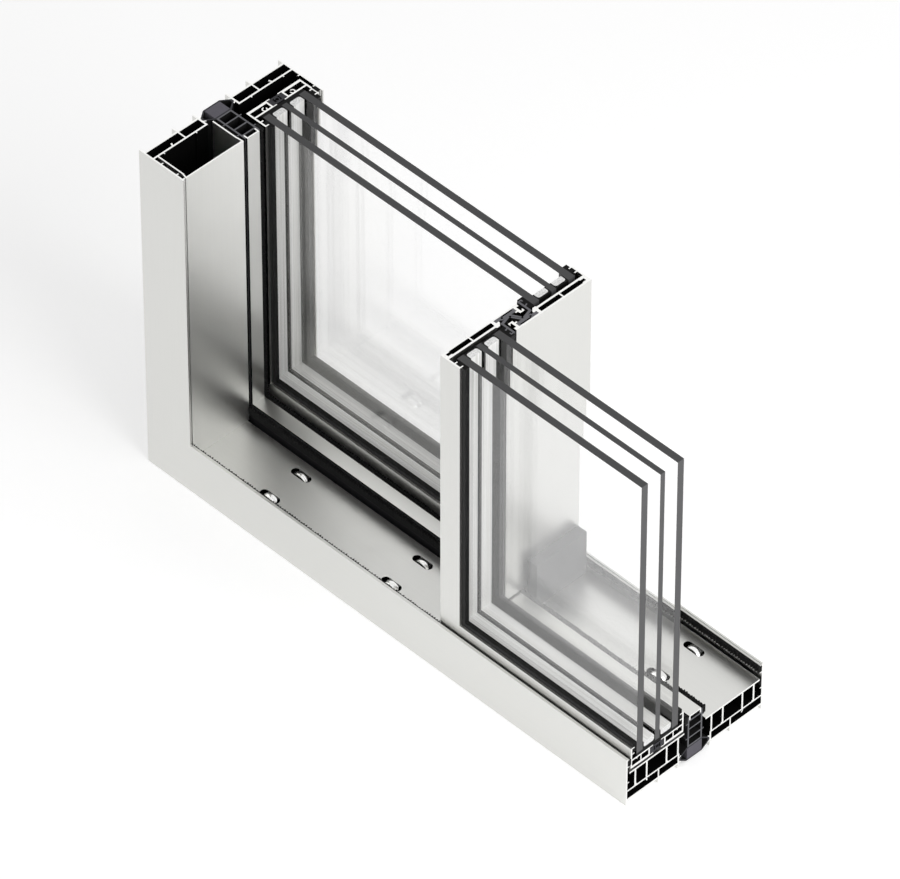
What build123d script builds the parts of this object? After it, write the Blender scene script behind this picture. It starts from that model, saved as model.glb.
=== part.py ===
"""Corner section of a triple-glazed sliding window, life size, in millimetres.

The sill runs along X, the jamb stands at its left end and both are sawn through: the sill at its
right end, the jamb and both leaves at the top. The front leaf runs in the track nearer to the front,
the rear leaf is fixed in the track behind it, and the two meet at the interlock.

X runs along the sill, Y from the front to the back, Z up. The origin is at the middle of the
footprint, on the floor. A section is drawn with y across the frame (zero at its middle) and v inwards
from the frame's outer face, so that sill and jamb share their sections and meet in a mitre.
"""

from math import atan2, degrees, hypot
import os

from build123d import *

# Overall sizes
frame_length = 642.0        # sill, from the jamb's outer face to the sawn end
frame_height = 400.0        # floor to the sawn top
face_width = 60.0           # what shows of sill and jamb from the front
break_gap = 40.0            # between the two aluminium halves

# Aluminium base profile, the same for sill and jamb
face_wall = 1.6
floor_wall = 2.0
foot_height = 6.0           # feet under the floor wall
deck = 19.3                 # top of the inner deck wall
deck_wall = 1.8
end_wall = 2.0
web_wall = 1.6
web_depth = 42.7            # lower web, from the face
groove_top = 2.0            # upper nub inside the face wall, below its edge; two nubs hold the brush
groove_pitch = 8.5
groove_nub = 2.2
step_nub = 29.0
nub_wall = 1.3
screw_nub_depth = 26.3
screw_nub = 3.0

# Thermal break between the halves
break_flat = 21.0           # flat width of the plastic ring
break_low = 2.2             # underside of the ring
break_wall = 1.6
claw_length = 3.2
claw_wall = 1.2
apex_height = 3.4

# Plastic spine between the leaves
spine_width = 19.0
spine_wall = 1.8
rung_pitch = 11.4
spine_nub = 2.4
cap_drop = 0.5              # top of the spine's cap, below the frame's faces
cap_depth = 5.7
cap_wall = 1.5
seal_depth = 8.9            # ledges that carry the brush strips, below the cap's top
spine_seal_reach = 4.1

# Track
tread_top = 41.5
tread_wall = 2.0
tread_edge = 4.2            # first edge of the tread, from the face
tread_overhang = 6.0        # of the tread past the aluminium half
track_web = 2.0
track_web_spread = 7.5      # of a pair of webs, each side of its row of rollers
web_ridge = 1.2             # ridge on the deck beside a web
web_ridge_height = 1.4

# Leaves
leaf_front = 5.5            # front leaf, from the face
leaf_gap = 15.5             # each leaf's inner face, from the frame's middle
unit_start = 7.5            # glass unit, from the leaf's own face
leaf_lift = 2.2             # leaf above the tread
glass_seat = 16.1           # glass edge above the outer edge of a rail
glass_cover = 11.2          # flange over the glass
bridge_width = 18.8         # plastic between a rail's two aluminium shells
shell_wall = 1.8
shell_base = 2.8            # lower wall of a shell
glazing_floor = 12.4        # top of the wall under the glass
shell_web = 13.5            # wall and nub inside a bottom rail's shell
shell_nub = 8.2
gasket_nub = 3.0
low_gasket_nub = 3.2        # above the glass edge
gasket_height = 6.6
gasket_rise = 5.0           # gasket past the flange's tip
gasket_head = 2.4           # outer side of the gasket's head, from the leaf's own face
gasket_foot_step = 1.2
screw_port_spread = 18.0    # from the leaf's middle
screw_port_outer = 2.9
screw_port_inner = 1.7
screw_port_slot = 2.2
strip_width = 8.0           # running strips under the rail
strip_height = 1.2
strip_inset = 20.0

# Glass unit
outer_pane = 8.0
middle_pane = 6.0
cavity = 16.0
spacer_width = 6.8
edge_seal = 2.0
side_seal = 1.3             # sealant between a spacer and a pane
spacer_round = 2.5

# Places along the sill
edge_profile_start = 32.2   # rear leaf, from the jamb's outer face
interlock_centre = 405.5
stile_reach = 12.6          # stile's outer face, from the interlock's centre
stile_seat = 14.1           # glass edge behind the stile's outer face
stile_wall = 2.0            # outer wall, which also covers the plastic
stile_plate = 9.5
stile_inner_wall = 2.2
stile_short = 3.3           # stile's chambers end before the leaf's inner face
stile_end_wall = 3.3
port_wall = 1.0             # screw port at the stile's front, inside its walls
port_start = 4.0
port_end = 8.8
head_start = 5.7            # solid head on the stile's end, from its outer face
head_bulge = 1.2
head_rise = 3.2
arm_sink = 1.1              # upper side of the interlock's arm, below the leaf's inner face
arm_wall = 2.2
arm_start = 2.4             # arm, from the interlock's centre
arm_reach = 13.6
arm_nub = 3.0
arm_nub_wall = 1.4
arm_gasket_width = 14.0
arm_gasket_lap = 1.0        # arm's gasket past the glass edge
column_face = 8.9           # outer side of the plastic column, from the interlock's centre
column_wall = 3.3
foot_top = 9.3              # foot between the stile's outer wall and its head
foot_hole = 1.2
foot_hole_x = 8.2
foot_hole_y = 10.3
foot_wall = 2.4             # foot under the hook
leg_start = 4.5
leg_wall = 2.7
finger_wall = 2.0
finger_root = 2.4
finger_reach = 3.4
finger_rise = 3.3
hook_low = 6.3              # hook, from the interlock's centre
hook_wall = 2.7
hook_reach = 1.2
hook_claw = 3.0
hook_claw_wall = 1.5
hook_curl = 1.2
hook_tooth = 2.5

# Rollers
roller_radius = 11.8
roller_width = 6.0
roller_crown = 0.5
roller_gap = 0.3            # below the leaf
roller_pitch = 164.5
roller_row = 20.5           # each side of the leaf's middle
pin_radius = 3.0
pin_play = 0.05
first_front_roller = 148.5
first_rear_roller = 78.0
slot_length = 24.0
slot_width = 9.0

# Rail details
bridge_nib = 3.4            # slanted corners of the plastic bridge
bridge_shoulder = 1.6
bridge_wall = 2.0
bridge_side = 5.2
bridge_claw = 4.2           # claws of the shells over the bridge
bridge_claw_wall = 1.1
bridge_port_wall = 1.1
bridge_port_slot = 1.8

# Jamb cover
cover_wall = 1.5
cover_start = 5.9           # inner sheet behind the face
cover_edge = 4.3            # its folded edge, clear of the face wall's nub
cover_end = 77.8
cover_return = 76.2         # its sheet beside the spine
cover_inset = 1.0           # cover behind the jamb's inner edge
cover_bend = 6.0            # start of its slanted edge, from its outer sheet
cover_far_bend = 9.0

# Block that holds the rear leaf
block_thickness = 12.0
block_height = 53.5
block_low_side = 17.3       # its front side, from the frame's middle
block_high_side = 83.0

# Clearances
fit_gap = 0.3
brush_gap = 0.4

left = -frame_length / 2
right = frame_length / 2
unit_depth = 2 * outer_pane + middle_pane + 2 * cavity
leaf_depth = unit_depth + 2 * unit_start
frame_depth = 2 * (leaf_front + leaf_depth + leaf_gap)
front = -frame_depth / 2
half_depth = (frame_depth - break_gap) / 2
leaf_bottom = tread_top + leaf_lift
glass_bottom = leaf_bottom + glass_seat
groove_high = face_width - groove_top
groove_low = groove_high - groove_pitch
cap_top = face_width - cap_drop
spine_top = cap_top - cap_depth
seal_ledge = cap_top - seal_depth
front_leaf_y = front + leaf_front
row_depths = (leaf_front + leaf_depth / 2 - roller_row, leaf_front + leaf_depth / 2 + roller_row)
roller_axis = leaf_bottom - roller_gap - roller_radius
interlock_x = left + interlock_centre
stile_back = leaf_depth - stile_short
arm_high = leaf_gap - arm_sink
arm_low = arm_high + arm_wall
shell_depth = (leaf_depth - bridge_width) / 2
deck_bottom = deck - deck_wall
floor_top = foot_height + floor_wall
over_run = 2 * face_width   # extra length that a mitre cuts away
hook_bottom = cap_top + leaf_lift

pieces = {}


def plate(a0, b0, a1, b1):
    """A straight wall in a section, from one corner to the opposite one."""
    return Pos((a0 + a1) / 2, (b0 + b1) / 2) * Rectangle(abs(a1 - a0), abs(b1 - b0))


def rib(start, end, wall):
    """A slanted wall in a section, along the line from start to end."""
    run, rise = end[0] - start[0], end[1] - start[1]
    middle = Pos((start[0] + end[0]) / 2, (start[1] + end[1]) / 2)
    return middle * Rot(0, 0, degrees(atan2(rise, run))) * Rectangle(hypot(run, rise), wall)


def joined(shapes):
    """One section from several walls."""
    section = shapes[0]
    for shape in shapes[1:]:
        section = section + shape
    return section


def from_front(section):
    """Places a section drawn with depth from the front face."""
    return Pos(front, 0) * section


def from_back(section):
    """The same section turned round, with depth from the back face."""
    return mirror(from_front(section), about=Plane.YZ)


def along_sill(section, start, end):
    """A profile along X."""
    return extrude(Plane((start, 0, 0), x_dir=(0, 1, 0), z_dir=(1, 0, 0)) * section, end - start)


def along_jamb(section, bottom, top):
    """A profile along Z with its outer face at the frame's left end."""
    plane = Plane((left, 0, top), x_dir=(0, 1, 0), z_dir=(0, 0, -1))
    return extrude(plane * section, top - bottom)


def mitre(x, z, towards_right=True):
    """The plane at 45 degrees through a lower corner, with the sill's side on top."""
    return Plane((x, 0, z), z_dir=(1 if towards_right else -1, 0, -1))


def keep_sill_side(part, plane):
    """The part of a profile on the sill's side of a mitre."""
    return split(part, bisect_by=plane, keep=Keep.TOP)


def keep_jamb_side(part, plane):
    """The part of a profile on the jamb's side of a mitre."""
    return split(part, bisect_by=plane, keep=Keep.BOTTOM)


def frame_pair(name, section):
    """The same section as a sill piece and a jamb piece, mitred together."""
    corner = mitre(left, 0)
    pieces["sill_" + name] = keep_sill_side(along_sill(section, left, right), corner)
    pieces["jamb_" + name] = keep_jamb_side(along_jamb(section, 0, frame_height), corner)


def claw(side):
    """A small arm on the end wall that grips one leg of the plastic ring."""
    middle = (break_low + deck) / 2
    leg_run = (break_gap - break_flat) / 2
    leg_rise = (deck - break_low - apex_height) / 2
    length = hypot(leg_run, leg_rise)
    along = (leg_run / length, side * leg_rise / length)
    offset = (-side * along[1] * claw_wall / 2, side * along[0] * claw_wall / 2)
    root = (half_depth + offset[0], middle + side * apex_height / 2 + offset[1])
    tip = (root[0] + along[0] * claw_length, root[1] + along[1] * claw_length)
    return rib(root, tip, claw_wall)


def base_section():
    """One aluminium half of the frame: face, floor, deck, end wall, feet and nubs."""
    inner = face_wall + groove_nub
    screw_nub_tip = (screw_nub_depth + screw_nub / 2, deck_bottom - screw_nub)
    walls = [
        plate(0, 0, face_wall, face_width),
        plate(0, foot_height, half_depth, floor_top),
        plate(0, deck_bottom, half_depth, deck),
        plate(half_depth - end_wall, 0, half_depth, deck),
        plate(web_depth - web_wall / 2, 0, web_depth + web_wall / 2, deck),
        plate(0, groove_high - nub_wall / 2, inner, groove_high + nub_wall / 2),
        plate(0, groove_low - nub_wall / 2, inner, groove_low + nub_wall / 2),
        plate(0, step_nub - nub_wall / 2, inner, step_nub + nub_wall / 2),
        rib((screw_nub_depth, deck_bottom), screw_nub_tip, web_wall),
        claw(1),
        claw(-1),
    ]
    for row in row_depths:
        ridge = row - track_web_spread + track_web / 2
        walls.append(plate(ridge, deck - deck_wall / 2, ridge + web_ridge, deck + web_ridge_height))
    return joined(walls)


def ring_section():
    """The plastic ring that ties the two halves: a hollow hexagon with cut apexes."""
    middle = (break_low + deck) / 2

    def outline(inset):
        flat = break_flat / 2 - inset / 2
        tip = break_gap / 2 - 1.5 * inset
        return Polygon(
            (-tip, middle - apex_height / 2),
            (-flat, break_low + inset),
            (flat, break_low + inset),
            (tip, middle - apex_height / 2),
            (tip, middle + apex_height / 2),
            (flat, deck - inset),
            (-flat, deck - inset),
            (-tip, middle + apex_height / 2),
            align=None,
        )

    return outline(0) - outline(break_wall)


def foam_section():
    """The foam that fills the flat part of the ring."""
    half = break_flat / 2 - break_wall / 2
    return plate(-half, break_low + break_wall, half, deck - break_wall)


def spine_section():
    """The ladder of plastic chambers that stands on the ring."""
    half = spine_width / 2
    walls = [
        plate(-half, deck, -half + spine_wall, cap_top - cap_wall),
        plate(half - spine_wall, deck, half, cap_top - cap_wall),
        plate(-half, deck, half, deck + break_wall),
        plate(-half, spine_top - break_wall, half, spine_top),
    ]
    for step in (1, 2):
        rung = deck + step * rung_pitch
        walls.append(plate(-half, rung - break_wall / 2, half, rung + break_wall / 2))
    for side in (-1, 1):
        root, tip = side * (half - spine_wall), side * (half + spine_nub)
        for height in (deck + rung_pitch, seal_ledge - nub_wall / 2):
            walls.append(plate(root, height - nub_wall / 2, tip, height + nub_wall / 2))
    return joined(walls)


def cap_section():
    """The aluminium cap clipped between the spine's two walls."""
    half = spine_width / 2 - spine_wall
    return joined(
        [
            plate(-half, cap_top - cap_wall, half, cap_top),
            plate(-half, spine_top, -half + cap_wall, cap_top),
            plate(half - cap_wall, spine_top, half, cap_top),
        ]
    )


def spine_seal_section(side):
    """The brush strip on one side of the spine, on its ledge."""
    root = side * spine_width / 2
    tip = side * (spine_width / 2 + spine_seal_reach)
    return plate(root, seal_ledge, tip, cap_top)


def face_brush_section():
    """The brush strip between the two upper nubs of the face wall."""
    tip = leaf_front - brush_gap
    return plate(face_wall, groove_low + nub_wall / 2, tip, groove_high - nub_wall / 2)


def tread_section():
    """The tread that the leaf runs over."""
    return plate(tread_edge, tread_top - tread_wall, half_depth + tread_overhang, tread_top)


def web_sections():
    """The four webs under the tread, a pair to each row of rollers."""
    webs = []
    for row in row_depths:
        for middle in (row - track_web_spread, row + track_web_spread):
            webs.append(plate(middle - track_web / 2, deck, middle + track_web / 2, tread_top - tread_wall))
    return webs


def cover_section():
    """The sheet that closes the jamb beside the front leaf's track."""
    outer = face_width - cover_inset
    half = cover_wall / 2
    bend = outer - cover_bend
    return joined(
        [
            plate(cover_start, deck, cover_start + cover_wall, bend),
            rib((cover_start + half, bend - half), (cover_edge + half, outer - half), cover_wall),
            plate(cover_edge, outer - cover_wall, cover_end, outer),
            rib((cover_end - half, outer - half), (cover_return, outer - cover_far_bend), cover_wall),
            plate(cover_return - half, deck, cover_return + half, outer - cover_far_bend + half / 2),
        ]
    )


def flange_nubs():
    """The two nubs inside a flange that hold the glazing gasket."""
    tip = glass_seat + glass_cover
    nubs = []
    for middle in (glass_seat + low_gasket_nub, tip - nub_wall / 2):
        nubs.append(plate(0, middle - nub_wall / 2, gasket_nub + shell_wall, middle + nub_wall / 2))
    return nubs


def shell_section():
    """One aluminium shell of a rail: w runs from the rail's outer edge to the flange's tip."""
    end = shell_depth + bridge_claw
    walls = [
        plate(0, strip_height, shell_wall, glass_seat + glass_cover),
        plate(0, strip_height, shell_depth, strip_height + shell_base),
        plate(0, glazing_floor - shell_wall, shell_depth, glazing_floor),
        plate(shell_depth - shell_wall, strip_height, shell_depth, glazing_floor),
        plate(shell_depth, strip_height, end, strip_height + bridge_claw_wall),
        plate(shell_depth, glazing_floor - bridge_claw_wall, end, glazing_floor),
    ]
    return joined(walls + flange_nubs())


def rail_web_section():
    """What the bottom rail's chamber has inside: a wall and a small nub."""
    high = glazing_floor - shell_wall
    web = plate(shell_web - nub_wall / 2, strip_height, shell_web + nub_wall / 2, glazing_floor)
    nub = plate(shell_nub - nub_wall / 2, high - nub_wall, shell_nub + nub_wall / 2, glazing_floor)
    return joined([web, nub])


def screw_port_section():
    """The open port for a corner screw, on the wall under the glass."""
    port = Pos(leaf_depth / 2 - screw_port_spread, glazing_floor - shell_wall - screw_port_inner)
    slot = plate(0, -screw_port_slot / 2, 2 * screw_port_outer, screw_port_slot / 2)
    return port * (Circle(screw_port_outer) - Circle(screw_port_inner) - Rot(0, 0, -45) * slot)


def bridge_section():
    """The plastic piece between the two shells of a rail, with an open port in its hollow."""
    half = bridge_width / 2
    low, high = strip_height + bridge_claw_wall, glazing_floor - bridge_claw_wall
    middle = (low + high) / 2
    nib, shoulder = half - bridge_nib, bridge_shoulder
    body = Polygon(
        (-half, low + shoulder),
        (-nib, low),
        (nib, low),
        (half, low + shoulder),
        (half, high - shoulder),
        (nib, high),
        (-nib, high),
        (-half, high - shoulder),
        align=None,
    )
    room = (high - low) / 2 - bridge_wall
    rim = room + bridge_wall / 5
    hollow = plate(-half + bridge_side, low + bridge_wall, half - bridge_side, high - bridge_wall)
    slot = plate(0, -bridge_port_slot / 2, 2 * room, bridge_port_slot / 2)
    port = Pos(0, middle) * (Circle(rim) - Circle(rim - bridge_port_wall) - slot)
    return Pos(leaf_depth / 2, 0) * (body - (hollow - port))


def both_sides(section):
    """A section of a leaf and its mirror image about the leaf's middle."""
    turned = Pos(leaf_depth, 0) * mirror(section, about=Plane.YZ)
    return section, turned


def stile_section():
    """Aluminium stile of the interlock, in plan: x from its outer face, y from the leaf's own face."""
    tip = stile_seat + glass_cover
    inner = stile_plate - stile_inner_wall
    middle = leaf_depth / 2
    walls = [
        plate(0, 0, tip, shell_wall),
        plate(0, 0, stile_wall, stile_back),
        plate(inner, 0, stile_plate, stile_back),
        plate(0, 0, stile_plate, port_start),
        plate(0, 0, stile_wall + port_wall, port_end),
        plate(inner - port_wall, 0, stile_plate, port_end),
        plate(0, middle - web_wall / 2, stile_plate, middle + web_wall / 2),
        plate(0, stile_back - stile_end_wall, stile_plate, stile_back),
    ]
    for nub in (stile_seat + low_gasket_nub, tip - nub_wall / 2):
        walls.append(plate(nub - nub_wall / 2, 0, nub + nub_wall / 2, shell_wall + gasket_nub))
    return joined(walls)


def lock_end_sections():
    """What the stile adds above the sill's cap: its outer wall over the plastic, and a solid head."""
    start = stile_back - stile_end_wall
    head = Polygon(
        (head_start, start),
        (stile_plate, start - head_bulge),
        (stile_plate + head_bulge, start),
        (stile_plate + head_bulge, stile_back),
        (head_start + web_wall, stile_back + head_rise),
        (head_start, stile_back + head_rise),
        align=None,
    )
    reach = leaf_depth + leaf_gap + hook_low + hook_wall + hook_claw
    return [plate(0, stile_back, stile_wall, reach), head]


def interlock_break_section():
    """Plastic part of the interlock, about its centre: column, feet, leg, arm with its groove, finger."""
    skin = stile_reach - stile_wall
    inner = column_face - column_wall
    arm_middle = (arm_low + arm_high) / 2
    nub_end = arm_low + arm_nub
    finger_start = (-inner - finger_wall / 2, -finger_root)
    walls = [
        plate(-skin, -leaf_gap - stile_short, head_start - stile_reach, -foot_top),
        plate(-column_face, -foot_top - column_wall, -inner, hook_low),
        plate(-skin, hook_low - foot_wall, -column_face, hook_low),
        rib((-inner, -leg_start), (-arm_start, -arm_middle), leg_wall),
        plate(-arm_start - leg_wall / 2, -arm_low, arm_reach, -arm_high),
        rib((arm_reach / 3, -arm_middle), (arm_reach / 3 + arm_nub_wall, -nub_end), arm_nub_wall),
        plate(arm_reach - arm_nub_wall, -nub_end, arm_reach, -arm_middle),
        plate(arm_reach - 2 * arm_nub_wall, -nub_end, arm_reach, -nub_end + arm_nub_wall),
        rib(finger_start, (finger_reach, finger_rise), finger_wall),
    ]
    return joined(walls) - Pos(-foot_hole_x, -foot_hole_y) * Circle(foot_hole)


def hook_section():
    """Aluminium hook of the interlock, about its centre, between the stile's outer wall and the open side."""
    start = -stile_reach + stile_wall
    high = hook_low + hook_wall
    tip = high + hook_claw
    tooth = -column_face + column_wall + web_wall / 2
    walls = [
        plate(start, hook_low, -hook_reach, high),
        plate(start, high, start + hook_claw_wall, tip),
        plate(-hook_reach - hook_claw_wall, high, -hook_reach, tip),
        plate(-hook_reach - 2 * hook_claw_wall, tip - hook_curl, -hook_reach, tip),
        rib((tooth, hook_low + hook_wall / 4), (tooth, hook_low - hook_tooth), web_wall),
    ]
    return joined(walls)


def upright(section, bottom):
    """Raises a section drawn in plan from the bottom given to the sawn top."""
    return extrude(Pos(0, 0, bottom) * section, frame_height - bottom)


def roller():
    """A crowned roller with its bore."""
    half = roller_width / 2
    rim = roller_radius - roller_crown
    profile = make_face(
        [
            Line((pin_radius + pin_play, -half), (rim, -half)),
            ThreePointArc((rim, -half), (roller_radius, 0), (rim, half)),
            Line((rim, half), (pin_radius + pin_play, half)),
            Line((pin_radius + pin_play, half), (pin_radius + pin_play, -half)),
        ]
    )
    return revolve(Plane.XY * profile, Axis.Y)


def roller_line(first):
    """Axis places along the sill of one track's rollers."""
    places = []
    x = left + first
    while x < right - roller_radius:
        places.append(x)
        x += roller_pitch
    return places


def build_frame():
    """Sill and jamb: both aluminium halves, what ties them, the spine and the brush strips."""
    frame_pair("front_base", from_front(base_section()))
    frame_pair("rear_base", from_back(base_section()))
    frame_pair("thermal_break", ring_section())
    frame_pair("foam_core", foam_section())
    frame_pair("spine", spine_section())
    frame_pair("spine_cap", cap_section())
    frame_pair("rear_seals", spine_seal_section(1))
    brush = from_back(face_brush_section())
    frame_pair("rear_brush", brush)
    front_seal = along_sill(spine_seal_section(-1), left + face_width, right)
    front_brush = along_sill(from_front(face_brush_section()), left + face_width, right)
    rear_strips = [pieces.pop("sill_rear_seals"), pieces.pop("sill_rear_brush")]
    pieces["sill_seals"] = Compound([front_seal, front_brush] + rear_strips)
    pieces["jamb_seals"] = Compound([pieces.pop("jamb_rear_seals"), pieces.pop("jamb_rear_brush")])


def build_tracks():
    """Both treads with their slots, and the rollers and pins in their webs."""
    start = left + deck + web_ridge_height
    for name, place_section, side, first in (
        ("front", from_front, 1, first_front_roller),
        ("rear", from_back, -1, first_rear_roller),
    ):
        tread = along_sill(place_section(tread_section()), start, right)
        webs = [along_sill(place_section(web), start, right) for web in web_sections()]
        pins, rollers = [], []
        for x in roller_line(first):
            for depth in row_depths:
                place = Pos(x, side * (front + depth), 0)
                outline = SlotOverall(slot_length, slot_width)
                slot = place * Pos(0, 0, tread_top) * extrude(outline, tread_wall, both=True)
                across = place * Pos(0, 0, roller_axis) * Rot(90, 0, 0)
                bore = across * Cylinder(pin_radius + pin_play, 4 * track_web_spread)
                tread = tread - slot
                webs = [web - bore for web in webs]
                pins.append(across * Cylinder(pin_radius, 2 * track_web_spread + track_web))
                rollers.append(place * Pos(0, 0, roller_axis) * roller())
        pieces[name + "_track"] = tread
        pieces[name + "_track_webs"] = Compound(webs)
        pieces[name + "_roller_pins"] = Compound(pins)
        pieces[name + "_rollers"] = Compound(rollers)


def build_jamb_cover():
    """The folded sheet from the tread up to the sawn top."""
    cover = along_jamb(from_front(cover_section()), tread_top, frame_height)
    pieces["jamb_cover"] = cover


def along_leaf(section, start, end):
    """A rail profile along the leaf, drawn with depth from the leaf's own face and w from its lower edge."""
    return along_sill(Pos(front_leaf_y, leaf_bottom) * section, start, end)


def up_leaf(section, outer, inwards):
    """The same profile upright at a side whose outer edge is at x and whose w runs inwards (1 or -1)."""
    placed = Pos(front_leaf_y, 0) * section
    height = frame_height - leaf_bottom + over_run
    if inwards > 0:
        plane = Plane((outer, 0, frame_height), x_dir=(0, 1, 0), z_dir=(0, 0, -1))
    else:
        plane = Plane((outer, 0, leaf_bottom - over_run), x_dir=(0, 1, 0), z_dir=(0, 0, 1))
    return extrude(plane * placed, height)


def leaf_loop(section, stile_edge, end_edge, closed):
    """Runs a section up the stile side, along the bottom and, on a closed leaf, up the far side."""
    stile_corner = mitre(stile_edge, leaf_bottom)
    far = end_edge + (over_run if closed else 0)
    bottom = keep_sill_side(along_leaf(section, stile_edge - over_run, far), stile_corner)
    loop = keep_jamb_side(up_leaf(section, stile_edge, 1), stile_corner)
    if closed:
        far_corner = mitre(end_edge, leaf_bottom, towards_right=False)
        bottom = keep_sill_side(bottom, far_corner)
        loop = loop + keep_jamb_side(up_leaf(section, end_edge, -1), far_corner)
    return loop + bottom


def rail_and_side(section, start, end_edge, closed, side_section=None):
    """A rail that starts at the stile, with its mitred upright at the far side of a closed leaf."""
    if not closed:
        return along_leaf(section, start, end_edge), None
    corner = mitre(end_edge, leaf_bottom, towards_right=False)
    rail = keep_sill_side(along_leaf(section, start, end_edge + over_run), corner)
    return rail, keep_jamb_side(up_leaf(side_section or section, end_edge, -1), corner)


def spacer_section(cavity_start):
    """A spacer bar in one cavity of the glass unit, rounded towards the glass edge."""
    low = glass_seat + edge_seal
    bar = plate(cavity_start + side_seal, low, cavity_start + cavity - side_seal, low + spacer_width)
    return fillet(bar.vertices().sort_by(Axis.Y)[:2], spacer_round)


def edge_seal_section(cavity_start):
    """The dark sealant behind a spacer bar and beside it."""
    fill = plate(cavity_start, glass_seat, cavity_start + cavity, glass_seat + edge_seal + spacer_width)
    return fill - spacer_section(cavity_start)


def near_gasket_section():
    """Glazing gasket between a flange and the glass, held by the flange's nubs, with a head over its tip."""
    tip = glass_seat + glass_cover
    lip = plate(shell_wall + gasket_nub, tip - gasket_height, unit_start, tip)
    head = plate(gasket_head, tip, unit_start, tip + gasket_rise)
    foot = plate(shell_wall, tip - gasket_height + gasket_foot_step, shell_wall + gasket_nub, tip - nub_wall)
    return joined([lip, head, foot]) - joined(flange_nubs())


def build_leaf(name, end_edge, closed, turn):
    """All pieces of one leaf, drawn as the front one with the interlock at the origin."""
    place = Location((interlock_x, 0, 0), (0, 0, turn))
    stile_outer = -stile_reach
    rail_start = stile_outer + stile_plate
    glass_start = stile_outer + stile_seat
    stile_loop_edge = glass_start - glass_seat
    leaf = {}

    at_stile = Pos(stile_outer, front_leaf_y)
    stile_plan = at_stile * stile_section()
    lock_plans = [at_stile * section for section in lock_end_sections()]
    break_plan = interlock_break_section() - stile_plan - lock_plans[0] - lock_plans[1]
    hook_plan = hook_section() - break_plan
    flange_room = Box(glass_cover + stile_seat, shell_depth, glazing_floor, align=Align.MIN)
    stile = upright(stile_plan, leaf_bottom) - Pos(rail_start, front_leaf_y, leaf_bottom) * flange_room
    for lock_plan in lock_plans:
        stile = stile + upright(lock_plan, hook_bottom)
    leaf["stile"] = stile
    leaf["stile_break"] = upright(break_plan, hook_bottom)
    leaf["stile_hook"] = upright(hook_plan, hook_bottom)

    flange_height = frame_height - leaf_bottom - glazing_floor
    near_room = Pos(rail_start, front_leaf_y, leaf_bottom + glazing_floor) * Box(
        stile_seat + glass_cover - stile_plate, unit_start, flange_height, align=Align.MIN
    )
    far_room = Pos(rail_start, front_leaf_y + unit_start + unit_depth, hook_bottom) * Box(
        glass_start + arm_gasket_width - rail_start, unit_start, flange_height, align=Align.MIN
    )
    near, far = both_sides(shell_section() + rail_web_section())
    near_side, far_side = both_sides(shell_section() + screw_port_section())
    near_rail, near_upright = rail_and_side(near, rail_start, end_edge, closed, near_side)
    far_rail, far_upright = rail_and_side(far, rail_start, end_edge, closed, far_side)
    leaf["rail_shells"] = [near_rail - near_room, far_rail - far_room]
    if closed:
        leaf["side_shells"] = [near_upright, far_upright]
    bridge_rail, bridge_side = rail_and_side(bridge_section(), rail_start, end_edge, closed)
    leaf["rail_bridge"] = bridge_rail
    if closed:
        leaf["side_bridge"] = bridge_side

    pane_end = end_edge - (glass_seat if closed else 0)
    panes, depth = [], unit_start
    for thickness in (outer_pane, middle_pane, outer_pane):
        pane = Box(pane_end - glass_start, thickness, frame_height - glass_bottom, align=Align.MIN)
        panes.append(Pos(glass_start, front_leaf_y + depth, glass_bottom) * pane)
        depth += thickness + cavity
    leaf["panes"] = panes

    cavities = (unit_start + outer_pane, unit_start + outer_pane + cavity + middle_pane)
    leaf["spacers"] = [leaf_loop(spacer_section(c), stile_loop_edge, end_edge, closed) for c in cavities]
    seals = [edge_seal_section(c) for c in cavities]
    leaf["edge_seals"] = [leaf_loop(seal, stile_loop_edge, end_edge, closed) for seal in seals]

    near, far = both_sides(near_gasket_section())
    near_gasket = leaf_loop(near, stile_loop_edge, end_edge, closed) - stile
    far_rail, far_side = rail_and_side(far, glass_start + arm_gasket_width, end_edge, closed)
    far_gasket = far_rail if far_side is None else far_rail + far_side
    arm_gasket_plan = plate(
        glass_start - arm_gasket_lap,
        front_leaf_y + unit_start + unit_depth,
        glass_start + arm_gasket_width,
        -arm_low,
    )
    arm_gasket = upright(arm_gasket_plan - break_plan - stile_plan - lock_plans[1], hook_bottom)
    leaf["gaskets"] = [near_gasket, far_gasket, arm_gasket]

    bed = plate(unit_start, glazing_floor, unit_start + unit_depth, glass_seat)
    bed_rail, bed_side = rail_and_side(bed, glass_start, end_edge, closed)
    leaf["glazing_bed"] = bed_rail if bed_side is None else bed_rail + bed_side

    strip_end = end_edge - (strip_inset if closed else 0)
    strips = []
    for side in (-1, 1):
        middle = leaf_depth / 2 + side * roller_row
        strip = plate(middle - strip_width / 2, 0, middle + strip_width / 2, strip_height)
        strips.append(along_leaf(strip, rail_start, strip_end))
    leaf["running_strips"] = strips

    for piece, shape in leaf.items():
        solids = shape if isinstance(shape, list) else [shape]
        placed = [place * solid for solid in solids]
        pieces["%s_leaf_%s" % (name, piece)] = placed[0] if len(placed) == 1 else Compound(placed)


def build_stop_block():
    """The block on the rear track that the rear leaf's stile stands against."""
    start = interlock_x + stile_reach
    width = block_high_side - block_low_side
    block = Box(block_thickness, width, block_height, align=Align.MIN)
    pieces["stop_block"] = Pos(start, block_low_side, tread_top) * block


build_frame()
build_tracks()
build_jamb_cover()
build_leaf("front", right - interlock_x, closed=False, turn=0)
build_leaf("rear", interlock_x - left - edge_profile_start, closed=True, turn=180)
build_stop_block()

os.makedirs("parts", exist_ok=True)
for node, solid in pieces.items():
    export_step(solid, "parts/%s.step" % node)
print(len(pieces), "nodes")
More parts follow.
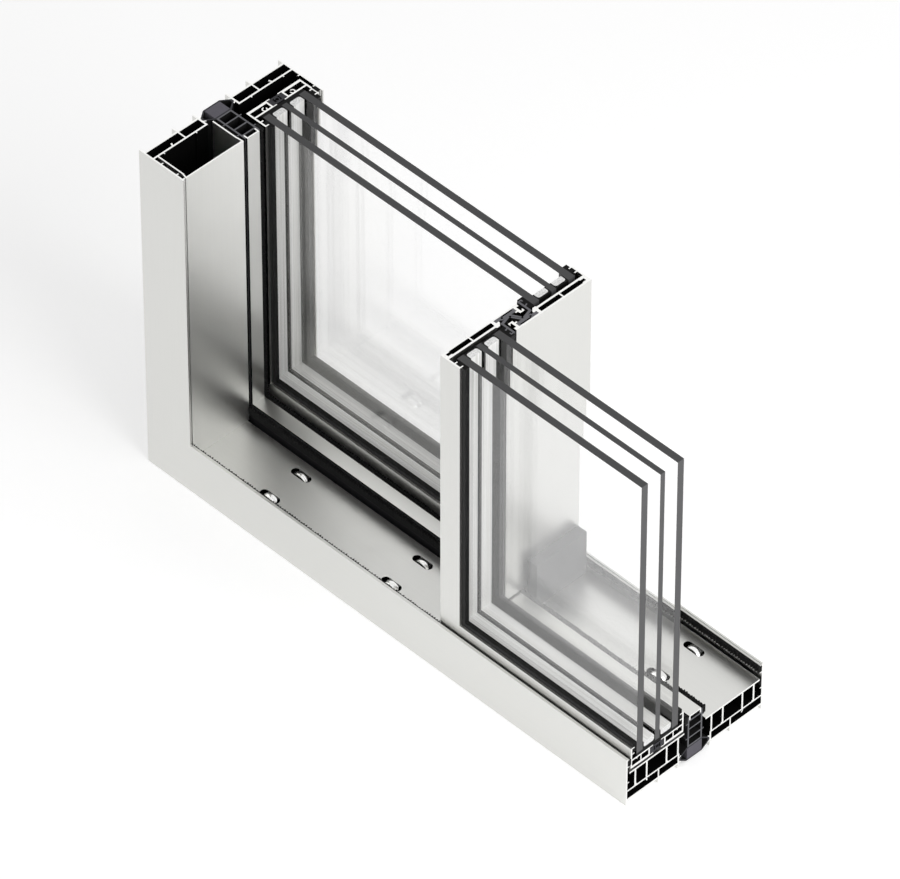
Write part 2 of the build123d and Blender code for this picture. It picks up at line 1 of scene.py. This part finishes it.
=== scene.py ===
"""Looks for the corner section of a triple-glazed sliding window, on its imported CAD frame.

The CAD nodes keep their shapes and get their finishes here. The brush strips, which the CAD has as
plain bars, are made anew. All lengths are in metres, in the frame of the CAD.
"""

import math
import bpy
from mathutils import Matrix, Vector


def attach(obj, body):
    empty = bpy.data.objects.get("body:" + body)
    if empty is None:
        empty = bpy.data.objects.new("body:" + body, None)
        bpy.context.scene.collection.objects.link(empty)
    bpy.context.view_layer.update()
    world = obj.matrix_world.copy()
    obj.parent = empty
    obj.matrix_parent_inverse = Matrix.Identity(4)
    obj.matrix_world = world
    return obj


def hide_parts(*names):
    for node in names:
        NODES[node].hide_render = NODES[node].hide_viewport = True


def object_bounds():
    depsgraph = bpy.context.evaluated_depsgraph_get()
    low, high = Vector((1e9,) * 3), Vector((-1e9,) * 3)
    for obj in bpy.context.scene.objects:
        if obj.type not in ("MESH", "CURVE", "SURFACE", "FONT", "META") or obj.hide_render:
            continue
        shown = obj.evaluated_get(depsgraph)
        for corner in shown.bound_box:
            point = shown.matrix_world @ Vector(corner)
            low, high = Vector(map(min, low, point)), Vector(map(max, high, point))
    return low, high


bl_info = {
    "name": "Sliding window corner section",
    "version": (1, 0, 0),
    "blender": (4, 5, 0),
    "location": "View3D > Sidebar > Window",
    "description": "Finishes and brush strips of a cutaway triple-glazed sliding window",
    "category": "Object",
}

import bmesh
import bpy
from mathutils import Matrix, Vector
from mathutils.bvhtree import BVHTree

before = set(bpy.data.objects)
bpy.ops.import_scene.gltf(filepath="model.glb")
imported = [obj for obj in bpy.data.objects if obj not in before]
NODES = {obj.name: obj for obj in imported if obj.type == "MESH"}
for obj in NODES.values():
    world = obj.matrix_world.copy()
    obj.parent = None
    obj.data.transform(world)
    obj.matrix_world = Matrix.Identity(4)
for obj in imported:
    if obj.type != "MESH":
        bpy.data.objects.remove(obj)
CAD_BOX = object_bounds()
SAWN_X = CAD_BOX[1].x
SAWN_Z = CAD_BOX[1].z
MM = 0.001

# To sort the faces of a profile
ALONG = 0.99                # least share of a direction that points along an axis
WALL = 0.5                  # most share of a wall's normal that points along its run
NEAR = 0.1 * MM             # a face this near a sawn plane lies in it
CLEAR = 0.05 * MM           # rays start this far off their face
CHAMBER = 90 * MM           # widest hollow that counts as a closed chamber
# Degrees off a face's normal in which the chamber's other walls are looked for
FAN = (-50, -30, -12, 0, 12, 30, 50)

# Sockets of a Mix node when it mixes colours
MIX_A, MIX_B, MIX_RESULT = 6, 7, 2

# Finishes
CLOUD = 60 * MM             # width of the clouds in which gloss changes
CLOUD_SHARE = 0.04          # how far roughness changes in them
# The range that noise really fills
SPREAD = {"From Min": 0.3, "From Max": 0.7}

# Brush strips
MOST_CUTS = 90              # subdivide makes 100 at most in one turn
ROWS = 4                    # of tufts across a strip
FLUSH = 0.01 * MM           # a vertex this near the cut line lies on it

# Stage
TARGET = Vector((-0.021, -0.005, 0.150))
# The camera's move to its right and up that frames the object
FRAMING = Vector((0.01734, 0.01889))
SENSOR = 36.0               # millimetres
FLOOR_SIZE = 30
FLOOR_DROP = 0.2 * MM       # keeps the floor off the feet
LAMPS_AIM = Vector((0, 0, 0.15))
KEY_PLACE, KEY_SIZE = Vector((1.9, -0.1, 1.6)), 1.6
FILL_PLACE, FILL_SIZE = Vector((-2.5, -2.0, 2.5)), 2.5
WHITE = (1, 1, 1, 1)

ALUMINIUM = "anodised aluminium"
ALUMINIUM_UP = "anodised aluminium upright"
SAWN_ALUMINIUM = "sawn aluminium"
POLYAMIDE = "glass-filled polyamide"
SAWN_POLYAMIDE = "sawn polyamide"
SAWN_RING = "sawn dark polyamide"
PAINTED_SHADE = "unlit chamber"
PAINTED_PLASTIC_SHADE = "unlit plastic chamber"

SILL_ALUMINIUM = [
    "sill_front_base",
    "sill_rear_base",
    "sill_spine_cap",
    "front_track",
    "rear_track",
    "front_track_webs",
    "rear_track_webs",
]
SILL_PLASTIC = ["sill_thermal_break", "sill_spine"]
JAMB_ALUMINIUM = ["jamb_front_base", "jamb_rear_base", "jamb_spine_cap", "jamb_cover"]
JAMB_PLASTIC = ["jamb_thermal_break", "jamb_spine"]
SIDE_ALUMINIUM = ["rear_leaf_side_shells"]
SIDE_PLASTIC = ["rear_leaf_side_bridge"]
LOCK_ALUMINIUM = [
    "front_leaf_stile",
    "rear_leaf_stile",
    "front_leaf_stile_hook",
    "rear_leaf_stile_hook",
]
LOCK_PLASTIC = ["front_leaf_stile_break", "rear_leaf_stile_break"]


def linear(code):
    """An sRGB hex colour as linear red, green, blue and alpha."""
    parts = [int(code[i : i + 2], 16) / 255 for i in (1, 3, 5)]
    return [c / 12.92 if c <= 0.04045 else ((c + 0.055) / 1.055) ** 2.4 for c in parts] + [1.0]


def add(tree, kind, settings=None, links=None):
    """Adds a node, sets its sockets by name or its own properties, and joins its inputs."""
    node = tree.nodes.new(kind)
    for key, value in (settings or {}).items():
        if isinstance(key, str) and hasattr(node, key):
            setattr(node, key, value)
        else:
            node.inputs[key].default_value = value
    for key, source in (links or {}).items():
        tree.links.new(source, node.inputs[key])
    return node


def new_material(name):
    """A new material with an empty tree; gives the material, its tree and its output node."""
    material = bpy.data.materials.new(name)
    material.use_nodes = True
    tree = material.node_tree
    tree.nodes.clear()
    return material, tree, tree.nodes.new("ShaderNodeOutputMaterial")


def tone(colour, factor):
    """A colour made lighter or darker by a factor."""
    return [min(1.0, part * factor) for part in colour[:3]] + [1.0]


def grained(
    name,
    colour,
    mark,
    stretch=(1, 1, 1),
    contrast=0.06,
    roughness=0.5,
    relief=0.02,
    metallic=0.0,
    specular=0.5,
):
    """A finish of two close tones over its own marks, with a gloss that changes in wide clouds.

    mark is the size of a mark and relief its height, both in millimetres, and a relief of 0 leaves the
    surface flat. stretch draws the marks out: less than 1 makes them longer along that axis.
    """
    material, tree, out = new_material(name)
    place = add(tree, "ShaderNodeTexCoord")
    fitted = add(tree, "ShaderNodeMapping", {"Scale": stretch}, {"Vector": place.outputs["Object"]})
    marks = add(
        tree,
        "ShaderNodeTexNoise",
        {"Scale": 1 / (mark * MM), "Detail": 4.0, "Roughness": 0.6},
        {"Vector": fitted.outputs["Vector"]},
    )
    clouds = add(tree, "ShaderNodeTexNoise", {"Scale": 1 / CLOUD}, {"Vector": place.outputs["Object"]})
    share = add(tree, "ShaderNodeMapRange", SPREAD, {"Value": marks.outputs["Fac"]})
    tones = add(
        tree,
        "ShaderNodeMix",
        {"data_type": "RGBA", MIX_A: tone(colour, 1 - contrast), MIX_B: tone(colour, 1 + contrast)},
        {"Factor": share.outputs["Result"]},
    )
    smoothest, roughest = roughness * (1 - CLOUD_SHARE), roughness * (1 + CLOUD_SHARE)
    gloss = add(
        tree,
        "ShaderNodeMapRange",
        {**SPREAD, "To Min": smoothest, "To Max": roughest},
        {"Value": clouds.outputs["Fac"]},
    )
    shader = add(
        tree,
        "ShaderNodeBsdfPrincipled",
        {"Metallic": metallic, "Specular IOR Level": specular},
        {"Base Color": tones.outputs[MIX_RESULT], "Roughness": gloss.outputs["Result"]},
    )
    if relief:
        lift = add(
            tree,
            "ShaderNodeBump",
            {"Strength": 0.3, "Distance": relief * MM},
            {"Height": marks.outputs["Fac"]},
        )
        tree.links.new(lift.outputs["Normal"], shader.inputs["Normal"])
    tree.links.new(shader.outputs[0], out.inputs["Surface"])
    return material


def float_glass():
    """Clear float glass: sharp reflections, hardly a tint; its shadow lets the light through."""
    material, tree, out = new_material("clear float glass")
    shader = add(
        tree,
        "ShaderNodeBsdfPrincipled",
        {"Base Color": WHITE, "Roughness": 0.0, "IOR": 1.46, "Transmission Weight": 1.0},
    )
    open_way = add(tree, "ShaderNodeBsdfTransparent", {"Color": linear("#FEFEFE")})
    path = add(tree, "ShaderNodeLightPath")
    passed = add(
        tree,
        "ShaderNodeMath",
        {"operation": "MAXIMUM"},
        {0: path.outputs["Is Shadow Ray"], 1: path.outputs["Is Diffuse Ray"]},
    )
    mixed = add(
        tree,
        "ShaderNodeMixShader",
        {},
        {"Fac": passed.outputs[0], 1: shader.outputs[0], 2: open_way.outputs[0]},
    )
    tree.links.new(mixed.outputs[0], out.inputs["Surface"])
    return material


def seen_socket(tree):
    """A socket that is 1 where something is looked at, mirrored or seen through glass, or else 0."""
    path = add(tree, "ShaderNodeLightPath")
    mirrored = add(
        tree,
        "ShaderNodeMath",
        {"operation": "MAXIMUM"},
        {0: path.outputs["Is Glossy Ray"], 1: path.outputs["Is Transmission Ray"]},
    )
    seen = add(
        tree,
        "ShaderNodeMath",
        {"operation": "MAXIMUM"},
        {0: path.outputs["Is Camera Ray"], 1: mirrored.outputs[0]},
    )
    return seen.outputs[0]


def pale_floor(colour, glow):
    """Matt paper: it keeps the object's shadow, and glows a little where it is looked at or mirrored."""
    material, tree, out = new_material("matt paper floor")
    strength = add(tree, "ShaderNodeMapRange", {"To Max": glow}, {"Value": seen_socket(tree)})
    paint = add(tree, "ShaderNodeBsdfDiffuse", {"Color": colour})
    light = add(tree, "ShaderNodeEmission", {"Color": WHITE}, {"Strength": strength.outputs["Result"]})
    both = add(tree, "ShaderNodeAddShader", {}, {0: paint.outputs[0], 1: light.outputs[0]})
    tree.links.new(both.outputs[0], out.inputs["Surface"])
    return material


def section_tree(names):
    """A search tree over the named nodes, to tell a closed chamber from an open face."""
    points, faces = [], []
    for name in names:
        mesh = NODES[name].data
        first = len(points)
        points += [v.co.copy() for v in mesh.vertices]
        faces += [[first + i for i in p.vertices] for p in mesh.polygons]
    return BVHTree.FromPolygons(points, faces)


def is_sawn(face):
    """Whether a face lies in one of the two sawn planes."""
    at_end = face.normal.x > ALONG and face.center.x > SAWN_X - NEAR
    at_top = face.normal.z > ALONG and face.center.z > SAWN_Z - NEAR
    return at_end or at_top


def runs_up(mesh, face):
    """Whether a face is longer upright than along the sill."""
    points = [mesh.vertices[i].co for i in face.vertices]
    rise = max(p.z for p in points) - min(p.z for p in points)
    return rise > max(p.x for p in points) - min(p.x for p in points)


def is_inside(face, tree, run):
    """Whether walls of the same section stand all round in front of a face."""
    if abs(face.normal.dot(run)) > WALL:
        return False
    side = face.normal.cross(run).normalized()
    begin = face.center + face.normal * CLEAR
    for turn in FAN:
        way = face.normal * math.cos(math.radians(turn)) + side * math.sin(math.radians(turn))
        if tree.ray_cast(begin, way, CHAMBER)[0] is None:
            return False
    return True


def dress(names, along, upright=None, sawn=None, inside=None, tree=None):
    """Gives nodes their finish along the sill or upright and in the sawn planes, and painted shade in closed
    chambers.
    """
    finishes = [bpy.data.materials[name or along] for name in (along, upright, sawn, inside)]
    for name in names:
        mesh = NODES[name].data
        mesh.materials.clear()
        for finish in finishes:
            mesh.materials.append(finish)
        for face in mesh.polygons:
            up = runs_up(mesh, face)
            face.material_index = 1 if up else 0
            # Faces in the sawn planes take the sawn finish; faces in closed chambers take painted shade
            if sawn and is_sawn(face):
                face.material_index = 2
            elif tree and is_inside(face, tree, Vector((0, 0, 1)) if up else Vector((1, 0, 0))):
                face.material_index = 3


def dress_profiles(aluminium, plastic, around=()):
    """Gives the aluminium and the plastic of one section their finishes, and painted shade in its closed
    chambers.
    """
    tree = section_tree([*aluminium, *plastic, *around])
    # Faces in closed chambers get painted shade: near black on aluminium, dark grey on plastic
    dress(aluminium, ALUMINIUM, ALUMINIUM_UP, SAWN_ALUMINIUM, PAINTED_SHADE, tree)
    for name in plastic:
        sawn = SAWN_POLYAMIDE if "spine" in name or "stile" in name else SAWN_RING
        dress([name], POLYAMIDE, None, sawn, PAINTED_PLASTIC_SHADE, tree)


def deselect():
    """Leaves edit mode and selects nothing."""
    if bpy.context.object and bpy.context.object.mode != "OBJECT":
        bpy.ops.object.mode_set(mode="OBJECT")
    bpy.ops.object.select_all(action="DESELECT")


class WindowFinish(bpy.types.PropertyGroup):
    """Colours of the window's surfaces."""

    aluminium: bpy.props.FloatVectorProperty(
        name="Aluminium",
        description="Anodised aluminium of the profiles",
        default=linear("#DCDCD9"),
        size=4,
        subtype="COLOR",
    )
    polyamide: bpy.props.FloatVectorProperty(
        name="Polyamide",
        description="Plastic of the thermal breaks, where it isn't sawn",
        default=linear("#262628"),
        size=4,
        subtype="COLOR",
    )
    rubber: bpy.props.FloatVectorProperty(
        name="Rubber",
        description="Glazing gaskets",
        default=linear("#171717"),
        size=4,
        subtype="COLOR",
    )
    # Tone of the pane edges' tops, which is painted shade; the sides take a lighter copy as painted light
    glass_edge: bpy.props.FloatVectorProperty(
        name="Glass edge",
        description="Ground edges of the panes",
        default=linear("#3F3F40"),
        size=4,
        subtype="COLOR",
    )


class WindowBrush(bpy.types.PropertyGroup):
    """Sizes of the brush strips."""

    tuft: bpy.props.FloatProperty(
        name="Tuft",
        description="Half the length of strip that one tuft takes",
        default=1.6 * MM,
        unit="LENGTH",
    )
    notch: bpy.props.FloatProperty(
        name="Notch",
        description="How far the pile is shorter between two tufts",
        default=1.8 * MM,
        unit="LENGTH",
    )
    start: bpy.props.FloatProperty(
        name="Start",
        description="Front strips, from the frame's outer side",
        default=60 * MM,
        unit="LENGTH",
    )
    ragged: bpy.props.FloatProperty(
        name="Raggedness",
        description="How far tufts stray from the cut line",
        default=0.6 * MM,
        unit="LENGTH",
    )
    wall: bpy.props.FloatProperty(
        name="Face wall",
        description="Wall that carries the outer strips",
        default=1.6 * MM,
        unit="LENGTH",
    )
    reach: bpy.props.FloatProperty(
        name="Reach",
        description="Pile of the outer strips",
        default=4.6 * MM,
        unit="LENGTH",
    )
    low: bpy.props.FloatProperty(
        name="Outer foot",
        description="Outer strips, from the frame's edge",
        default=50.2 * MM,
        unit="LENGTH",
    )
    high: bpy.props.FloatProperty(
        name="Outer top",
        description="Outer strips, to this far",
        default=58.2 * MM,
        unit="LENGTH",
    )
    spine: bpy.props.FloatProperty(
        name="Spine",
        description="Half the width of the spine",
        default=9.5 * MM,
        unit="LENGTH",
    )
    width: bpy.props.FloatProperty(
        name="Width",
        description="Width of the strips beside the spine",
        default=4.0 * MM,
        unit="LENGTH",
    )
    ledge: bpy.props.FloatProperty(
        name="Ledge",
        description="Foot of the strips beside the spine",
        default=50.6 * MM,
        unit="LENGTH",
    )
    top: bpy.props.FloatProperty(
        name="Top",
        description="Cut line of the strips beside the spine",
        default=59.4 * MM,
        unit="LENGTH",
    )


class WindowStage(bpy.types.PropertyGroup):
    """Camera and light."""

    azimuth: bpy.props.FloatProperty(
        name="Azimuth",
        description="Direction that the camera looks from",
        default=math.radians(45.496),
        subtype="ANGLE",
    )
    elevation: bpy.props.FloatProperty(
        name="Elevation",
        description="Height of the camera above the horizon",
        default=math.radians(43.949),
        subtype="ANGLE",
    )
    distance: bpy.props.FloatProperty(
        name="Distance", description="From the camera to its target", default=8.8717, unit="LENGTH"
    )
    lens: bpy.props.FloatProperty(name="Lens", description="Focal length in millimetres", default=380.43)
    key: bpy.props.FloatProperty(name="Key", description="Lamp from the right", default=31.0, unit="POWER")
    fill: bpy.props.FloatProperty(name="Fill", description="Lamp from the left", default=5.0, unit="POWER")
    sky: bpy.props.FloatProperty(name="Sky", description="Light from all round", default=0.55)
    glow: bpy.props.FloatProperty(name="Floor glow", description="Brings the floor near white", default=0.40)


class WINDOW_OT_finishes(bpy.types.Operator):
    """Makes every finish."""

    bl_idname = "window.finishes"
    bl_label = "Finishes"

    def execute(self, context):
        values = context.scene.window_finish
        metal, plastic = values.aluminium, values.polyamide
        rubber, edge = values.rubber, values.glass_edge
        # Extruded and anodised: satin, with die lines along the profile that only just show
        satin = {"contrast": 0.01, "roughness": 0.36, "relief": 0, "metallic": 1.0}
        grained(ALUMINIUM, metal, 1.2, (0.01, 1, 1), **satin)
        grained(ALUMINIUM_UP, metal, 1.2, (1, 1, 0.01), **satin)
        # Folded from thin sheet; painted light: a lighter copy of the aluminium than on the extrusions, for
        # the brighter reflections on the cover
        grained("anodised sheet", tone(metal, 1.28), 1.2, (1, 1, 0.01), **satin)
        # Cut through by a fine saw: bare and bright
        grained(SAWN_ALUMINIUM, linear("#F6F6F4"), 0.8, (1, 0.2, 1), roughness=0.45, metallic=1.0)
        # Extruded nylon with glass fibre: dark and dull, and paler where it is sawn
        grained(POLYAMIDE, plastic, 1.5, roughness=0.5, specular=0.25)
        grained(SAWN_POLYAMIDE, linear("#68686C"), 0.9, contrast=0.1, roughness=0.7, specular=0.2)
        grained(SAWN_RING, linear("#38383C"), 0.9, contrast=0.1, roughness=0.7, specular=0.2)
        # Deep chambers, where next to no light comes back: painted shade, near black on aluminium and dark
        # grey on plastic
        grained(PAINTED_SHADE, linear("#060606"), 2, roughness=0.9, specular=0.03)
        grained(PAINTED_PLASTIC_SHADE, linear("#181818"), 2, roughness=0.9, specular=0.1)
        # Pane edges: matt and greenish grey, with painted shade on top and a lighter copy, painted light, at
        # the sides
        grained("ground glass edge", edge, 1.2, contrast=0.08, roughness=0.35, specular=0.3)
        grained("seamed glass edge", tone(edge, 1.5), 1.2, contrast=0.05, roughness=0.4, specular=0.3)
        float_glass()
        # Thin rolled spacer bars with fine beads along them, filled with drying grains
        bar = {"contrast": 0.25, "roughness": 0.35, "relief": 0.15}
        grained("rolled spacer bar", linear("#F2F2EC"), 1.2, (0.005, 1, 1), **bar)
        grained("rolled spacer bar upright", linear("#F2F2EC"), 1.2, (1, 1, 0.005), **bar)
        grained("drying grains", linear("#F8F8F6"), 1.5, contrast=0.4, roughness=0.8, relief=0.4)
        # Extruded synthetic rubber and sealants: near black, a weak soft sheen
        grained("glazing gasket rubber", rubber, 3, roughness=0.6, specular=0.25)
        grained("cut rubber", tone(rubber, 0.8), 1.5, contrast=0.2, roughness=0.8, specular=0.1)
        butyl = {"contrast": 0.2, "roughness": 0.6, "relief": 0.1, "specular": 0.1}
        grained("butyl sealant", tone(rubber, 0.5), 2, **butyl)
        # Closed-cell foam: grey with a violet cast, pitted
        grained("closed-cell foam", linear("#5C5A62"), 0.7, contrast=0.12, roughness=0.95, relief=0.2)
        # Chromed and turned rollers on drawn pins
        turned = {"contrast": 0.03, "roughness": 0.2, "relief": 0, "metallic": 1.0}
        grained("chromed steel", linear("#F4F4F2"), 3, (0.3, 3, 0.3), **turned)
        grained("drawn steel", linear("#9A9A9A"), 2, (1, 0.05, 1), roughness=0.35, metallic=1.0)
        # Moulded blocks and slide strips
        grained("moulded grey plastic", linear("#565658"), 2, contrast=0.03, roughness=0.6, specular=0.3)
        grained("slide strip plastic", linear("#2C2C2E"), 2, roughness=0.4, specular=0.3)
        # Dense polypropylene pile: black, with no gloss
        pile = {"contrast": 0.6, "roughness": 0.95, "relief": 0.4, "specular": 0.1}
        grained("polypropylene pile", linear("#1F1F1F"), 0.8, **pile)
        return {"FINISHED"}


class WINDOW_OT_frame(bpy.types.Operator):
    """Finishes the sill, the jamb and the tracks."""

    bl_idname = "window.frame"
    bl_label = "Frame"

    def execute(self, context):
        dress_profiles(SILL_ALUMINIUM, SILL_PLASTIC)
        dress_profiles(JAMB_ALUMINIUM, JAMB_PLASTIC, [*SIDE_ALUMINIUM, *SIDE_PLASTIC])
        # The cover takes the lighter copy of the aluminium, which is painted light
        dress(["jamb_cover"], "anodised sheet", None, SAWN_ALUMINIUM)
        dress(["sill_foam_core", "jamb_foam_core"], "closed-cell foam")
        dress(["stop_block"], "moulded grey plastic")
        return {"FINISHED"}


class WINDOW_OT_leaves(bpy.types.Operator):
    """Finishes the profiles of both leaves."""

    bl_idname = "window.leaves"
    bl_label = "Leaves"

    def execute(self, context):
        for leaf in ("front", "rear"):
            bed = leaf + "_leaf_glazing_bed"
            dress_profiles([leaf + "_leaf_rail_shells"], [leaf + "_leaf_rail_bridge"], [bed])
        around = [*JAMB_ALUMINIUM, *JAMB_PLASTIC, "rear_leaf_glazing_bed"]
        dress_profiles(SIDE_ALUMINIUM, SIDE_PLASTIC, around)
        dress_profiles(LOCK_ALUMINIUM, LOCK_PLASTIC)
        dress(["front_leaf_running_strips", "rear_leaf_running_strips"], "slide strip plastic")
        return {"FINISHED"}


class WINDOW_OT_glazing(bpy.types.Operator):
    """Finishes the panes, the spacers and what seals them."""

    bl_idname = "window.glazing"
    bl_label = "Glass units"

    def execute(self, context):
        names = ("clear float glass", "ground glass edge", "seamed glass edge")
        finishes = [bpy.data.materials[name] for name in names]
        for leaf in ("front_leaf_", "rear_leaf_"):
            mesh = NODES[leaf + "panes"].data
            mesh.materials.clear()
            for material in finishes:
                mesh.materials.append(material)
            for face in mesh.polygons:
                # Top faces of the panes take painted shade, side faces painted light
                upward, sideways = abs(face.normal.z) > ALONG, abs(face.normal.x) > ALONG
                face.material_index = 1 if upward else 2 if sideways else 0
            dress([leaf + "spacers"], "rolled spacer bar", "rolled spacer bar upright", "drying grains")
            dress([leaf + "gaskets"], "glazing gasket rubber", None, "cut rubber")
            dress([leaf + "edge_seals", leaf + "glazing_bed"], "butyl sealant")
        return {"FINISHED"}


class WINDOW_OT_rollers(bpy.types.Operator):
    """Finishes the rollers and their pins."""

    bl_idname = "window.rollers"
    bl_label = "Rollers"

    def execute(self, context):
        dress(["front_rollers", "rear_rollers"], "chromed steel")
        dress(["front_roller_pins", "rear_roller_pins"], "drawn steel")
        return {"FINISHED"}


def choose(piece, kind, test):
    """Opens a piece in edit mode and selects the vertices or edges that pass a test."""
    bpy.ops.object.mode_set(mode="EDIT")
    bpy.ops.mesh.select_mode(type="VERT" if kind == "verts" else "EDGE")
    bpy.ops.mesh.select_all(action="DESELECT")
    shape = bmesh.from_edit_mesh(piece.data)
    for part in getattr(shape, kind):
        part.select_set(test(part))
    bmesh.update_edit_mesh(piece.data)


def brush(low, high, run, tip, seed):
    """A bar of pile between two corners, cut into tufts along its run and ragged on its tip side.

    run is the axis that the strip runs along, 0 to 2, and tip the direction that the tufts point in.
    """
    values = bpy.context.scene.window_brush
    low, high, tip = Vector(low), Vector(high), Vector(tip)
    across = [axis for axis in range(3) if axis != run and not tip[axis]][0]
    deselect()
    bpy.ops.mesh.primitive_cube_add(size=1, location=(low + high) / 2, scale=high - low)
    bpy.ops.object.transform_apply(location=True, rotation=False, scale=True)
    strip = bpy.context.object
    length = (high - low)[run]
    turns = math.ceil(length / values.tuft / MOST_CUTS)
    pieces = round(length / values.tuft / turns)
    step = length / (pieces * turns)
    for axis, cuts in ((run, pieces - 1), (run, turns - 1), (across, ROWS - 1)):
        if not cuts:
            continue

        def runs_along(edge):
            way = edge.verts[1].co - edge.verts[0].co
            return abs(way[axis]) > ALONG * way.length

        choose(strip, "edges", runs_along)
        bpy.ops.mesh.subdivide(number_cuts=cuts)
    level = max(low.dot(tip), high.dot(tip))

    def at_tip(point):
        inner = low[run] + step / 2 < point.co[run] < high[run] - step / 2
        return inner and point.co.dot(tip) > level - FLUSH

    def between_tufts(point):
        return at_tip(point) and round((point.co[run] - low[run]) / step) % 2 == 1

    choose(strip, "verts", between_tufts)
    bpy.ops.transform.translate(value=tip * -values.notch)
    choose(strip, "verts", at_tip)
    bpy.ops.transform.vertex_random(offset=values.ragged, uniform=1.0, normal=0.0, seed=seed)
    bpy.ops.object.mode_set(mode="OBJECT")
    return strip


def brush_set(name, node, strips):
    """Joins strips into one piece that stands for a CAD node."""
    deselect()
    for strip in strips:
        strip.select_set(True)
    bpy.context.view_layer.objects.active = strips[0]
    bpy.ops.object.join()
    piece = bpy.context.object
    piece.name = name
    piece.data.materials.append(bpy.data.materials["polypropylene pile"])
    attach(piece, "root")
    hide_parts(node)


class WINDOW_OT_brushes(bpy.types.Operator):
    """Makes the brush strips at the faces and beside the spine."""

    bl_idname = "window.brushes"
    bl_label = "Brush strips"

    def execute(self, context):
        v = context.scene.window_brush
        left, front = CAD_BOX[0].x, CAD_BOX[0].y
        wall, tips = front + v.wall, front + v.wall + v.reach
        start, side = left + v.start, v.spine + v.width
        up, inwards, outwards = (0, 0, 1), (0, 1, 0), (0, -1, 0)
        sill = [
            brush((start, wall, v.low), (SAWN_X, tips, v.high), 0, inwards, 1),
            brush((left + v.high, -tips, v.low), (SAWN_X, -wall, v.high), 0, outwards, 2),
            brush((start, -side, v.ledge), (SAWN_X, -v.spine, v.top), 0, up, 3),
            brush((left + v.top, v.spine, v.ledge), (SAWN_X, side, v.top), 0, up, 4),
        ]
        brush_set("sill_brush_strips", "sill_seals", sill)
        jamb = [
            brush((left + v.low, -tips, v.low), (left + v.high, -wall, SAWN_Z), 2, outwards, 5),
            brush((left + v.ledge, v.spine, v.ledge), (left + v.top, side, SAWN_Z), 2, (1, 0, 0), 6),
        ]
        brush_set("jamb_brush_strips", "jamb_seals", jamb)
        return {"FINISHED"}


class WINDOW_OT_stage(bpy.types.Operator):
    """Sets the floor, the lights and the camera."""

    bl_idname = "window.stage"
    bl_label = "Stage"

    def execute(self, context):
        values = context.scene.window_stage
        az, el = values.azimuth, values.elevation
        back = Vector((math.sin(az) * math.cos(el), -math.cos(az) * math.cos(el), math.sin(el)))
        right = Vector((math.cos(az), math.sin(az), 0))
        up = back.cross(right)
        camera = bpy.data.objects.new("camera", bpy.data.cameras.new("camera"))
        context.scene.collection.objects.link(camera)
        camera.location = TARGET + back * values.distance + right * FRAMING.x + up * FRAMING.y
        camera.rotation_euler = Matrix((right, up, back)).transposed().to_euler()
        camera.data.lens = values.lens
        camera.data.sensor_width = SENSOR
        camera.data.clip_start, camera.data.clip_end = 0.1, 100
        context.scene.camera = camera

        deselect()
        bpy.ops.mesh.primitive_plane_add(size=FLOOR_SIZE, location=(0, 0, -FLOOR_DROP))
        floor = context.object
        floor.name = "floor"
        floor.data.materials.append(pale_floor(linear("#E6E6E6"), values.glow))

        world = bpy.data.worlds.new("studio")
        context.scene.world = world
        world.use_nodes = True
        tree = world.node_tree
        tree.nodes.clear()
        level = add(
            tree,
            "ShaderNodeMapRange",
            {"To Min": values.sky, "To Max": 1.0},
            {"Value": seen_socket(tree)},
        )
        sky = add(tree, "ShaderNodeBackground", {"Color": WHITE}, {"Strength": level.outputs["Result"]})
        end = add(tree, "ShaderNodeOutputWorld")
        tree.links.new(sky.outputs[0], end.inputs["Surface"])

        for name, place, size, power in (
            ("key", KEY_PLACE, KEY_SIZE, values.key),
            ("fill", FILL_PLACE, FILL_SIZE, values.fill),
        ):
            light = bpy.data.objects.new(name, bpy.data.lights.new(name, "AREA"))
            light.data.size, light.data.energy = size, power
            light.location = place
            light.rotation_euler = (LAMPS_AIM - place).to_track_quat("-Z", "Y").to_euler()
            context.scene.collection.objects.link(light)
        context.scene.view_settings.view_transform = "Standard"
        return {"FINISHED"}


STEPS = (
    WINDOW_OT_finishes,
    WINDOW_OT_frame,
    WINDOW_OT_leaves,
    WINDOW_OT_glazing,
    WINDOW_OT_rollers,
    WINDOW_OT_brushes,
    WINDOW_OT_stage,
)


class WINDOW_PT_panel(bpy.types.Panel):
    """Lists the steps in the sidebar."""

    bl_idname = "WINDOW_PT_panel"
    bl_label = "Window"
    bl_space_type = "VIEW_3D"
    bl_region_type = "UI"
    bl_category = "Window"

    def draw(self, context):
        for step in STEPS:
            self.layout.operator(step.bl_idname)


CLASSES = (WindowFinish, WindowBrush, WindowStage) + STEPS + (WINDOW_PT_panel,)


def register():
    for c in CLASSES:
        bpy.utils.register_class(c)
    bpy.types.Scene.window_finish = bpy.props.PointerProperty(type=WindowFinish)
    bpy.types.Scene.window_brush = bpy.props.PointerProperty(type=WindowBrush)
    bpy.types.Scene.window_stage = bpy.props.PointerProperty(type=WindowStage)


def unregister():
    del bpy.types.Scene.window_stage
    del bpy.types.Scene.window_brush
    del bpy.types.Scene.window_finish
    for c in reversed(CLASSES):
        bpy.utils.unregister_class(c)


def main():
    """Makes every piece."""
    register()
    for step in STEPS:
        group, name = step.bl_idname.split(".")
        getattr(getattr(bpy.ops, group), name)()


if __name__ == "__main__":
    main()
